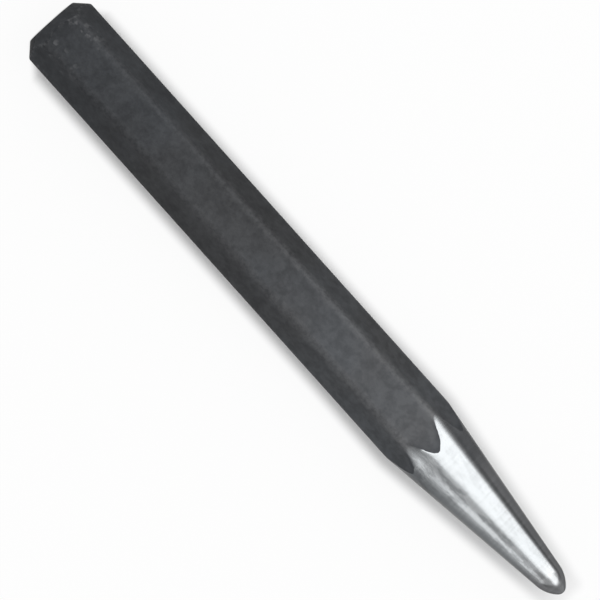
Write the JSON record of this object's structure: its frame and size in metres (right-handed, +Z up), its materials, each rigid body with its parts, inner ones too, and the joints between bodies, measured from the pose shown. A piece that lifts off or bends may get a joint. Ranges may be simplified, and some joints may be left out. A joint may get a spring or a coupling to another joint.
{
  "type": "prick punch",
  "caption": "Prick punch of blackened hexagon tool steel, with a chamfered struck end and a bright ground point, for marking metal before layout or drilling.",
  "frame": {"origin": "on the surface the punch lies on, under the middle of its length", "axes": "+X along the punch towards its point, +Z up from the flat it lies on, +Y to the left when looking along +X"},
  "size_m": [0.1, 0.0108, 0.0098],
  "materials": {
    "blackened_steel": "satin"
  },
  "bodies": {
    "root": {"punch": "blackened_steel"}
  },
  "joints": []
}
